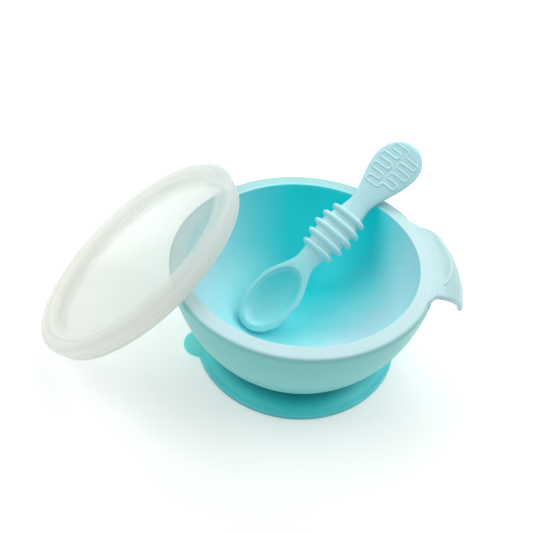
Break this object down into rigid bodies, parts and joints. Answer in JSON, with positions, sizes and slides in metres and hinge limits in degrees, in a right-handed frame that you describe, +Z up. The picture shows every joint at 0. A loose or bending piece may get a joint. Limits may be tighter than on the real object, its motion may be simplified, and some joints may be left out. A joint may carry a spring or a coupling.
{
  "type": "suction bowl",
  "caption": "Baby's suction bowl with a drooping thumb lip and a pull tab on its base, a translucent cover leaning on the rim and a ribbed training spoon resting inside.",
  "frame": {"origin": "middle of the set's footprint on the table; the bowl's own axis stands at X +26.0 mm, Y -7.6 mm", "axes": "+X from the leaning cover towards the bowl's thumb lip, +Z up, table at Z = 0"},
  "size_m": [0.1981, 0.1331, 0.0779],
  "materials": {
    "bowl_silicone": "satin aqua silicone",
    "base_silicone": "satin aqua silicone",
    "spoon_silicone": "satin aqua silicone",
    "lid_plastic": "milky translucent, soft gloss"
  },
  "bodies": {
    "base_body": {"suction_base": "base_silicone"},
    "bowl_body": {"bowl": "bowl_silicone"},
    "tab_body": {"release_tab": "base_silicone"},
    "lid_body": {"lid": "lid_plastic"},
    "spoon_body": {"spoon": "spoon_silicone"}
  },
  "joints": [
    {"name": "suction_press", "type": "slide", "parent": "base_body", "child": "bowl_body", "axis": [0, 0, -1], "range_m": [0, 0.0025], "stiffness_N_per_m": 3000, "springref_m": -0.002, "deforming": ["suction_base"]},
    {"name": "release_tab_lift", "type": "hinge", "parent": "base_body", "child": "tab_body", "pos_m": [-0.02257, -0.01443, 0.0015], "axis": [-0.1392, 0.9903, 0], "range_deg": [0, 70], "stiffness_Nm_per_rad": 0.004},
    {"name": "lid_lift", "type": "slide", "parent": "base_body", "child": "lid_body", "axis": [0, 0, 1], "range_m": [0, 0.12]},
    {"name": "spoon_lift", "type": "slide", "parent": "bowl_body", "child": "spoon_body", "axis": [0, 0, 1], "range_m": [0, 0.12]}
  ]
}
